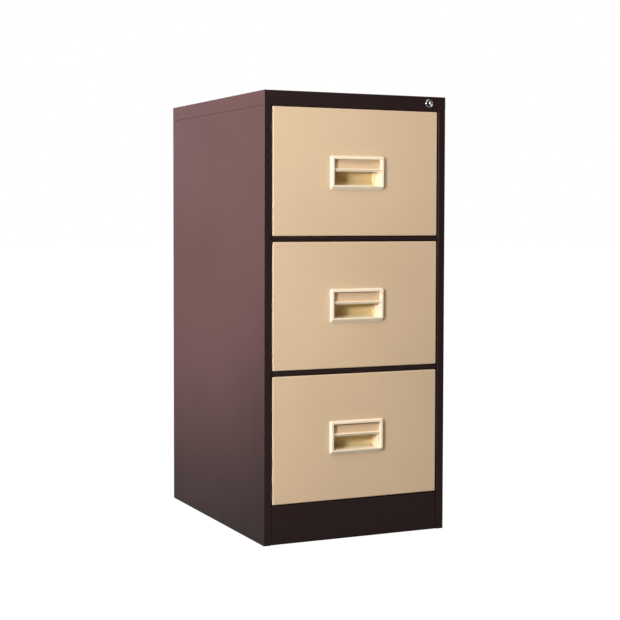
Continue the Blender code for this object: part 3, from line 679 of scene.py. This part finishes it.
def carcass_hardware():
    """Rivets along the rear flanges and the lid, and lock nuts on the feet."""
    rivet_line = HALF_WIDTH - REAR_RIVET_INSET
    heights = [REAR_RIVET_START + REAR_RIVET_PITCH * index for index in range(REAR_RIVETS)]
    for column, side in SIDES:
        places = [(side * rivet_line, BACK, height) for height in heights]
        rivet_row(f"rear_{column}_rivets", places, (0, 1, 0), REAR_RIVET_HEIGHT, "cabinet")
    places = [(LID_RIVET_PITCH * index, BACK, HEIGHT - LID_RIVET_DROP) for index in (-1, 0, 1)]
    rivet_row("lid_rivets", places, (0, 1, 0), REAR_RIVET_HEIGHT, "cabinet")
    nut = [
        (NUT_BORE, 0.0), (NUT_CHAMFERED, 0.0), (NUT_ACROSS, NUT_BEVEL),
        (NUT_ACROSS, NUT_THICKNESS - NUT_BEVEL), (NUT_CHAMFERED, NUT_THICKNESS), (NUT_BORE, NUT_THICKNESS),
    ]
    for row in ("front", "rear"):
        for column, _ in SIDES:
            low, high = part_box(f"{row}_{column}_foot")
            centre = ((low.x + high.x) / 2, (low.y + high.y) / 2, NUT_HEIGHT)
            bm = bmesh.new()
            loft(bm, turned_rings(nut, centre, (0, 0, 1), 6), hollow=True)
            add_piece(f"{row}_{column}_foot_nut", bm, ZINC, "cabinet")


# ---------------------------------------------------------------- studio

def add_lamp(data, place, target, power):
    """Aim a white lamp that the camera doesn't see."""
    data.energy = power
    lamp = bpy.data.objects.new(data.name, data)
    lamp.location = place
    lamp.rotation_euler = (Vector(target) - Vector(place)).to_track_quat("-Z", "Y").to_euler()
    lamp.visible_camera = False
    bpy.context.scene.collection.objects.link(lamp)
    return lamp


def softbox(name, place, target, size, power):
    """A rectangular diffuser, size metres wide and high."""
    data = bpy.data.lights.new(name, "AREA")
    data.shape = "RECTANGLE"
    data.size, data.size_y = size
    return add_lamp(data, place, target, power)


def spotlight(name, place, target, cone, blend, radius, power):
    """A lamp with a soft-edged cone, in degrees."""
    data = bpy.data.lights.new(name, "SPOT")
    data.spot_size = math.radians(cone)
    data.spot_blend = blend
    data.shadow_soft_size = radius
    return add_lamp(data, place, target, power)


def lights():
    """A key and top fills on the front, a spotlight and a fill on the left, weaker ones elsewhere."""
    front = (0.0, CARCASS_FRONT, 0.55)
    left = (-HALF_WIDTH, 0.1, 0.5)
    softbox("key_softbox", (-2.06, -1.6, 1.0), front, (0.45, 0.32), 60)
    softbox("top_left_fill", (-1.6, -1.6, 2.5), front, (1.4, 1.4), 30)
    softbox("top_fill", (0.0, -1.5, 2.6), front, (1.6, 1.6), 22)
    side_spot = spotlight("side_spot", (-3.23, 0.24, 1.3), (-HALF_WIDTH, 0.24, 1.3), 45, 0.33, 0.25, 3000)
    side_spot.visible_glossy = False             # the glossy side shows no image of it
    softbox("side_fill", (-3.4, 0.3, 0.7), left, (1.8, 1.2), 33)
    softbox("rear_glint", (-0.9, 4.5, 1.5), left, (1.0, 1.6), 3.2)
    softbox("right_fill", (2.8, 0.5, 1.1), (HALF_WIDTH, 0.0, 0.5), (1.6, 1.6), 40)
    softbox("back_fill", (0.6, 3.2, 1.4), (0.0, 0.3, 0.5), (1.6, 1.6), 40)


def world():
    """White behind the cabinet for the camera; it lights nothing."""
    surroundings = bpy.data.worlds.new("studio")
    surroundings.use_nodes = True
    tree = surroundings.node_tree
    background = tree.nodes["Background"]
    seen = tree.nodes.new("ShaderNodeLightPath")
    background.inputs["Color"].default_value = (1.0, 1.0, 1.0, 1.0)
    tree.links.new(seen.outputs["Is Camera Ray"], background.inputs["Strength"])
    bpy.context.scene.world = surroundings


def floor():
    """A plain pale floor, which the camera sees nearly white at any distance from the lamps."""
    half_size, grey, glow_strength, glow_share = 30.0, 0.30, 1.1, 0.93
    bm = bmesh.new()
    bmesh.ops.create_grid(bm, x_segments=1, y_segments=1, size=half_size)
    mesh = bpy.data.meshes.new("studio_floor")
    bm.to_mesh(mesh)
    bm.free()
    material = bpy.data.materials.new("pale_floor")
    material.use_nodes = True
    tree = material.node_tree
    tree.nodes.remove(tree.nodes["Principled BSDF"])
    matt = tree.nodes.new("ShaderNodeBsdfDiffuse")
    matt.inputs["Color"].default_value = (grey, grey, grey, 1.0)
    glow = tree.nodes.new("ShaderNodeEmission")
    glow.inputs["Color"].default_value = (1.0, 1.0, 1.0, 1.0)
    glow.inputs["Strength"].default_value = glow_strength
    seen = tree.nodes.new("ShaderNodeLightPath")
    share = tree.nodes.new("ShaderNodeMath")
    share.operation = "MULTIPLY"
    share.inputs[1].default_value = glow_share
    mix = tree.nodes.new("ShaderNodeMixShader")
    link = tree.links.new
    link(seen.outputs["Is Camera Ray"], share.inputs[0])
    link(share.outputs[0], mix.inputs[0])
    link(matt.outputs[0], mix.inputs[1])
    link(glow.outputs[0], mix.inputs[2])
    link(mix.outputs[0], tree.nodes["Material Output"].inputs["Surface"])
    mesh.materials.append(material)
    ground = bpy.data.objects.new("studio_floor", mesh)
    bpy.context.scene.collection.objects.link(ground)


def camera():
    """The viewpoint: low on the left, a little above the middle drawer."""
    data = bpy.data.cameras.new("camera")
    data.lens = 83.56
    data.sensor_width = 36.0
    data.shift_x = -0.0559
    data.shift_y = -0.0424
    data.clip_end = 200.0
    viewer = bpy.data.objects.new("camera", data)
    yaw, pitch, roll = (math.radians(angle) for angle in (25.657, 2.684, 0.193))
    viewer.matrix_world = (
        Matrix.Translation((-1.4524, -3.2654, 0.7405))
        @ Matrix.Rotation(-yaw, 4, "Z")
        @ Matrix.Rotation(math.radians(90) - pitch, 4, "X")
        @ Matrix.Rotation(roll, 4, "Z")
    )
    bpy.context.scene.collection.objects.link(viewer)
    bpy.context.scene.camera = viewer


# ---------------------------------------------------------------- the scene

dress_frame()
handles()
lock()
carcass_hardware()
for drawer_name in DRAWERS:
    slide_hardware(drawer_name)
    drawer_hardware(drawer_name)
lights()
world()
floor()
camera()
bpy.context.scene.view_settings.view_transform = "Standard"
